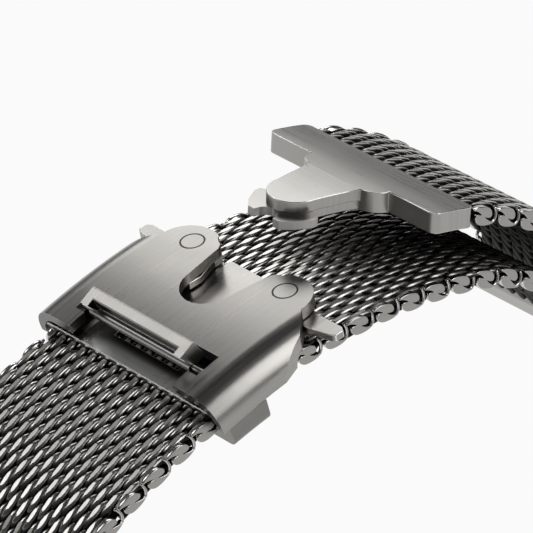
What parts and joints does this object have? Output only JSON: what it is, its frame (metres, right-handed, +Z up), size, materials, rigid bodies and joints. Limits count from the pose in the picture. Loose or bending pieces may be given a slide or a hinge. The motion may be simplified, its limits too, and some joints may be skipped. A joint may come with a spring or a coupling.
{
  "type": "milanese mesh band",
  "caption": "Woven steel mesh watch band, standing open, with a sliding clasp, a locking lever, side pushers and a T-shaped tongue piece.",
  "frame": {"origin": "on the axis of the long strap's spring bar, at mid width", "axes": "+X runs along the band from the clasp towards the tongue piece, +Y across the band, +Z up, away from the wrist at the clasp"},
  "size_m": [0.0773, 0.0268, 0.0609],
  "materials": {
    "mesh_wire": "satin wire, ground flat on the outside",
    "clasp_satin": "brushed along the band",
    "pin_polish": "fine turned",
    "spring_steel": "bright drawn"
  },
  "bodies": {
    "watch_side": {"long_bar_tube": "pin_polish", "long_bar_spring": "spring_steel", "short_bar_tube": "pin_polish", "short_bar_spring": "spring_steel"},
    "long_bar_right_pin": {"long_bar_right_plunger": "pin_polish"},
    "long_bar_left_pin": {"long_bar_left_plunger": "pin_polish"},
    "short_bar_right_pin": {"short_bar_right_plunger": "pin_polish"},
    "short_bar_left_pin": {"short_bar_left_plunger": "pin_polish"},
    "long_strap_lower": {"long_end_barrel": "clasp_satin", "long_rows_lower": "mesh_wire"},
    "long_strap_upper": {"long_rows_side": "mesh_wire", "long_rows_top": "mesh_wire"},
    "long_strap_tail": {"long_rows_tail": "mesh_wire", "long_tail_cap": "clasp_satin"},
    "clasp": {"clasp_cover": "clasp_satin", "clasp_base": "clasp_satin", "left_pivot_pin": "pin_polish", "right_pivot_pin": "pin_polish", "lever_pin": "pin_polish", "left_pusher_spring": "spring_steel", "right_pusher_spring": "spring_steel"},
    "lever": {"lock_lever": "clasp_satin"},
    "left_button": {"left_pusher": "clasp_satin"},
    "right_button": {"right_pusher": "clasp_satin"},
    "short_strap_side": {"short_end_barrel": "clasp_satin", "short_rows_side": "mesh_wire"},
    "short_strap_top": {"short_rows_top": "mesh_wire"},
    "tongue": {"tongue_plate": "clasp_satin", "catch_plate": "clasp_satin", "catch_rivets": "pin_polish"}
  },
  "joints": [
    {"name": "long_bar_right_plunge", "type": "slide", "parent": "watch_side", "child": "long_bar_right_pin", "axis": [0, -1, 0], "range_m": [-0.0009, 0], "stiffness_N_per_m": 800, "springref_m": 0.0004},
    {"name": "long_bar_left_plunge", "type": "slide", "parent": "watch_side", "child": "long_bar_left_pin", "axis": [0, 1, 0], "range_m": [-0.0009, 0], "stiffness_N_per_m": 800, "springref_m": 0.0004},
    {"name": "short_bar_right_plunge", "type": "slide", "parent": "watch_side", "child": "short_bar_right_pin", "axis": [0, -1, 0], "range_m": [-0.0009, 0], "stiffness_N_per_m": 800, "springref_m": 0.0004},
    {"name": "short_bar_left_plunge", "type": "slide", "parent": "watch_side", "child": "short_bar_left_pin", "axis": [0, 1, 0], "range_m": [-0.0009, 0], "stiffness_N_per_m": 800, "springref_m": 0.0004},
    {"name": "long_strap_pivot", "type": "hinge", "parent": "watch_side", "child": "long_strap_lower", "pos_m": [0, 0, 0], "axis": [0, 1, 0], "range_deg": [-20, 0]},
    {"name": "long_strap_flex", "type": "hinge", "parent": "long_strap_lower", "child": "long_strap_upper", "pos_m": [-0.03431, 0, 0.00087], "axis": [0, -1, 0], "range_deg": [-8, 0]},
    {"name": "tail_flex", "type": "hinge", "parent": "long_strap_upper", "child": "long_strap_tail", "pos_m": [0.00567, 0, 0.04654], "axis": [0, 1, 0], "range_deg": [-4, 8]},
    {"name": "clasp_slide", "type": "hinge", "parent": "long_strap_upper", "child": "clasp", "pos_m": [-0.00134, 0, -0.01456], "axis": [0, 1, 0], "range_deg": [-8, 6.27]},
    {"name": "lever_turn", "type": "hinge", "parent": "clasp", "child": "lever", "pos_m": [-0.02247, 0, 0.04634], "axis": [0, 1, 0], "range_deg": [-18, 14.7]},
    {"name": "left_pusher_turn", "type": "hinge", "parent": "clasp", "child": "left_button", "pos_m": [-0.01129, 0.0063, 0.04856], "axis": [-0.1908, 0, 0.9816], "range_deg": [-16, 0], "stiffness_Nm_per_rad": 0.05, "springref_deg": 8.59, "deforming": ["left_pusher_spring"]},
    {"name": "right_pusher_turn", "type": "hinge", "parent": "clasp", "child": "right_button", "pos_m": [-0.01129, -0.0063, 0.04856], "axis": [0.1908, 0, -0.9816], "range_deg": [-16, 0], "stiffness_Nm_per_rad": 0.05, "springref_deg": 8.59, "deforming": ["right_pusher_spring"]},
    {"name": "short_strap_pivot", "type": "hinge", "parent": "watch_side", "child": "short_strap_side", "pos_m": [0.03099, 0, 0.02985], "axis": [0, -1, 0], "range_deg": [-45, 6.93]},
    {"name": "short_strap_flex", "type": "hinge", "parent": "short_strap_side", "child": "short_strap_top", "pos_m": [0.0212, 0, 0.04494], "axis": [0, -1, 0], "range_deg": [-12, 1.1]},
    {"name": "tongue_flex", "type": "hinge", "parent": "short_strap_top", "child": "tongue", "pos_m": [0.00528, 0, 0.0533], "axis": [0, -1, 0], "range_deg": [-15, 0]}
  ]
}
